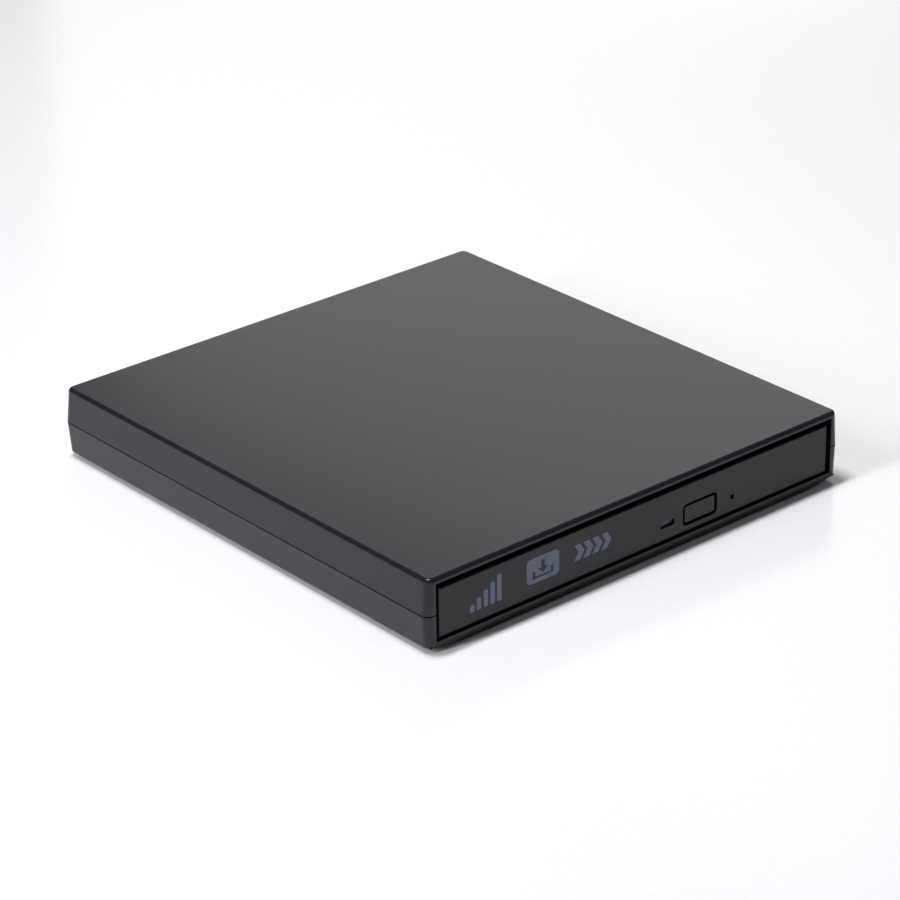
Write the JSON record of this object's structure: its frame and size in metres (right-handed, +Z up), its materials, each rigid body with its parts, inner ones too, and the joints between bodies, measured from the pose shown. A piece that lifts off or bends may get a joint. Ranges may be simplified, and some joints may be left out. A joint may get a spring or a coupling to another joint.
{
  "type": "external optical drive",
  "caption": "Slim external optical drive: two-shell plastic case with a sliding disc tray, eject button, lamp, hub, pickup and rear sockets.",
  "frame": {"origin": "centre of the footprint, on the surface that the rubber feet stand on", "axes": "-Y out of the front, where the tray opens; +X to the right seen from the front; +Z up"},
  "size_m": [0.136, 0.1428, 0.0192],
  "materials": {
    "case_plastic": "fine matte texture",
    "bezel_plastic": "satin",
    "tray_plastic": "fine matte texture",
    "black_plastic": "moulded",
    "turntable_plastic": "moulded",
    "white_plastic": "self-lubricating, moulded",
    "foot_rubber": "matte",
    "ring_rubber": "matte",
    "screw_steel": "black oxide",
    "bright_steel": "ground",
    "zinc_steel": "zinc-coated sheet",
    "plated_steel": "nickel plated",
    "cover_sheet": "black coated sheet",
    "sled_alloy": "die cast",
    "sleeve_brass": "turned",
    "coil_copper": "enamelled wire",
    "board_green": "solder resist",
    "chip_epoxy": "moulded epoxy",
    "flex_film": "polyimide film",
    "lens_clear": "milky light guide",
    "lens_glass": "coated"
  },
  "bodies": {
    "case": {"top_cover": "case_plastic", "bottom_cover": "case_plastic", "rubber_feet": "foot_rubber", "case_screws": "screw_steel", "bridge_board": "board_green", "bridge_connector": "black_plastic", "usb_socket": "plated_steel", "power_jack": "black_plastic", "bridge_components": "chip_epoxy", "small_screws": "screw_steel", "rear_bracket": "zinc_steel", "drive_chassis": "zinc_steel", "drive_lid": "zinc_steel", "main_board": "board_green", "main_board_chips": "chip_epoxy", "drive_connector": "black_plastic", "latch_pin": "bright_steel", "rail_guides": "white_plastic", "ejector_housing": "black_plastic", "ejector_spring": "bright_steel", "tray_flex": "flex_film"},
    "ejector": {"ejector_pusher": "white_plastic"},
    "rails": {"left_rail": "bright_steel", "right_rail": "bright_steel"},
    "tray": {"tray": "tray_plastic", "tray_shield": "zinc_steel", "tray_screws": "screw_steel", "bezel": "bezel_plastic", "led_lens": "lens_clear", "front_board": "board_green", "eject_switch": "plated_steel", "latch_pivot_pin": "bright_steel", "latch_solenoid": "coil_copper", "motor_base": "bright_steel", "bearing_sleeve": "sleeve_brass", "motor_stator": "coil_copper", "traverse_frame": "zinc_steel", "traverse_cover": "cover_sheet", "guide_rods": "bright_steel", "rubber_dampers": "ring_rubber", "damper_screws": "screw_steel", "feed_motor": "plated_steel", "pickup_flex": "flex_film"},
    "button": {"eject_button": "bezel_plastic"},
    "latch": {"latch_lever": "white_plastic"},
    "plunger": {"solenoid_plunger": "bright_steel"},
    "spindle": {"rotor_cup": "plated_steel", "rotor_magnet": "chip_epoxy", "spindle_shaft": "bright_steel", "turntable": "turntable_plastic", "turntable_ring": "ring_rubber"},
    "pawl_1": {"hub_pawl_1": "black_plastic"},
    "pawl_2": {"hub_pawl_2": "black_plastic"},
    "pawl_3": {"hub_pawl_3": "black_plastic"},
    "feed_screw": {"lead_screw": "bright_steel"},
    "pickup": {"pickup_sled": "sled_alloy", "drive_tooth": "white_plastic", "pickup_cover": "black_plastic"},
    "lens": {"lens_holder": "black_plastic", "objective_lens": "lens_glass"}
  },
  "joints": [
    {"name": "tray_slide", "type": "slide", "parent": "case", "child": "tray", "axis": [0, -1, 0], "range_m": [0, 0.126], "deforming": ["tray_flex"]},
    {"name": "rails_slide", "type": "slide", "parent": "case", "child": "rails", "axis": [0, -1, 0], "range_m": [0, 0.063]},
    {"name": "ejector_slide", "type": "slide", "parent": "case", "child": "ejector", "axis": [0, -1, 0], "range_m": [0, 0.0085], "deforming": ["ejector_spring"]},
    {"name": "button_press", "type": "slide", "parent": "tray", "child": "button", "axis": [0, 1, 0], "range_m": [0, 0.0006], "stiffness_N_per_m": 900, "springref_m": -0.0004},
    {"name": "plunger_slide", "type": "slide", "parent": "tray", "child": "plunger", "axis": [1, 0, 0], "range_m": [0, 0.000846]},
    {"name": "latch_turn", "type": "hinge", "parent": "tray", "child": "latch", "pos_m": [0.0395, -0.058, 0.0065], "axis": [0, 0, 1], "range_deg": [0, 10]},
    {"name": "spindle_spin", "type": "hinge", "parent": "tray", "child": "spindle", "pos_m": [0, -0.006, 0.0122], "axis": [0, 0, 1], "continuous": true},
    {"name": "pawl_1_press", "type": "slide", "parent": "spindle", "child": "pawl_1", "axis": [0.7071, 0.7071, 0], "range_m": [0, 0.0004], "stiffness_N_per_m": 500, "springref_m": -0.0005},
    {"name": "pawl_2_press", "type": "slide", "parent": "spindle", "child": "pawl_2", "axis": [-0.9659, 0.2588, 0], "range_m": [0, 0.0004], "stiffness_N_per_m": 500, "springref_m": -0.0005},
    {"name": "pawl_3_press", "type": "slide", "parent": "spindle", "child": "pawl_3", "axis": [0.2588, -0.9659, 0], "range_m": [0, 0.0004], "stiffness_N_per_m": 500, "springref_m": -0.0005},
    {"name": "pickup_slide", "type": "slide", "parent": "tray", "child": "pickup", "axis": [-0.7071, -0.7071, 0], "range_m": [0, 0.033], "deforming": ["pickup_flex"]},
    {"name": "feed_spin", "type": "hinge", "parent": "tray", "child": "feed_screw", "pos_m": [-0.01301, -0.04673, 0.0086], "axis": [0.7071, 0.7071, 0], "range_deg": [-5, 3970]},
    {"name": "lens_focus", "type": "slide", "parent": "pickup", "child": "lens", "axis": [0, 0, 1], "range_m": [-0.0004, 0.0005], "stiffness_N_per_m": 120}
  ],
  "couplings": [
    {"joint": "rails_slide", "follows": "tray_slide", "ratio": 0.5},
    {"joint": "ejector_slide", "follows": "tray_slide", "ratio": 0.066667},
    {"joint": "latch_turn", "follows": "plunger_slide", "rad_per_m": 206.19},
    {"joint": "feed_spin", "follows": "pickup_slide", "rad_per_m": 2094.4}
  ]
}
